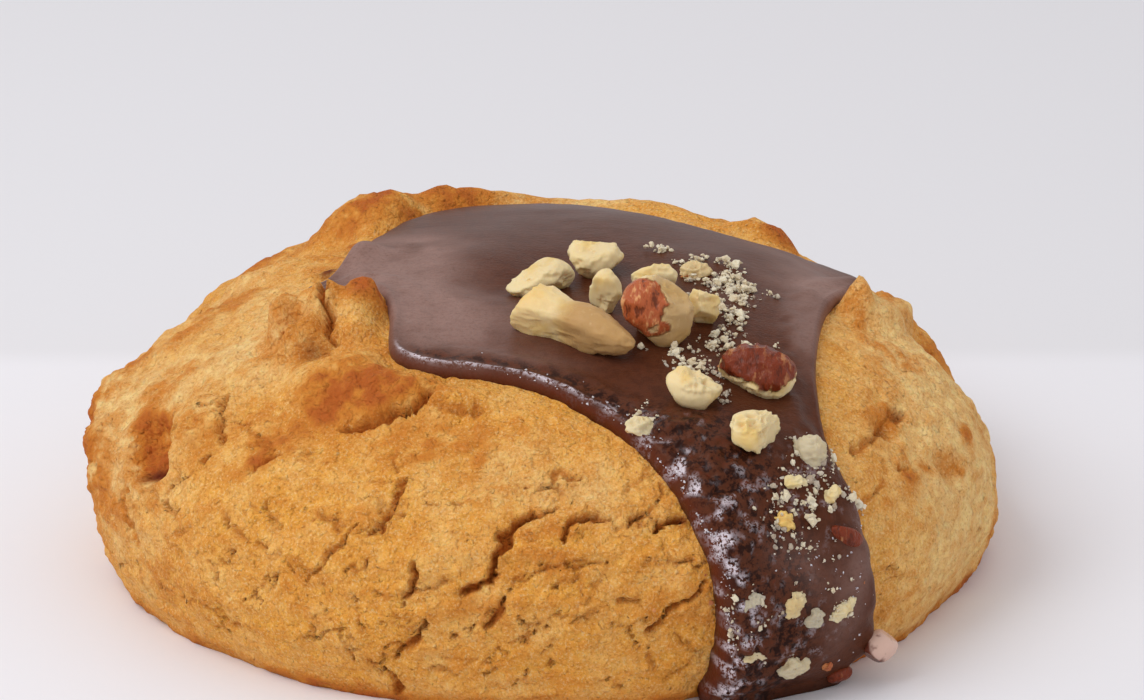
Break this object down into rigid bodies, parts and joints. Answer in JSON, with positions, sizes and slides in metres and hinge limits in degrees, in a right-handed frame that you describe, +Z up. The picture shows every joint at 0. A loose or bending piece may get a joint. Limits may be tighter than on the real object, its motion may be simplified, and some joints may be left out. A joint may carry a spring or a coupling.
{
  "type": "chocolate-glazed hazelnut drop cookie",
  "caption": "Thick domed drop cookie with a crumbly crust, a band of chocolate glaze running down one side, and chopped hazelnuts on the glaze.",
  "frame": {"origin": "centre of the cookie's outline, on the flat base that it lies on", "axes": "+Z up; -Y towards the picture's viewer, so that the glaze runs down between -Y and +X; +X to the viewer's right"},
  "size_m": [0.0833, 0.0841, 0.0312],
  "materials": {
    "baked_dough": "dry, crumbly golden baked dough with browned edges",
    "chocolate_glaze": "set chocolate glaze with a dull satin surface",
    "hazelnut_kernel": "broken cream hazelnut kernel",
    "hazelnut_skin": "hazelnut kernel under its reddish-brown papery skin"
  },
  "bodies": {
    "root": {"cookie": "baked_dough", "glaze": "chocolate_glaze", "hazelnut_rear_left": "hazelnut_kernel", "hazelnut_rear_middle": "hazelnut_kernel", "hazelnut_rear_small": "hazelnut_kernel", "hazelnut_between": "hazelnut_kernel", "hazelnut_two_lobed": "hazelnut_kernel", "hazelnut_half_with_skin": "hazelnut_skin", "hazelnut_right_small": "hazelnut_kernel", "hazelnut_with_skin": "hazelnut_skin", "hazelnut_front_left": "hazelnut_kernel", "hazelnut_front_right": "hazelnut_kernel"}
  },
  "joints": []
}
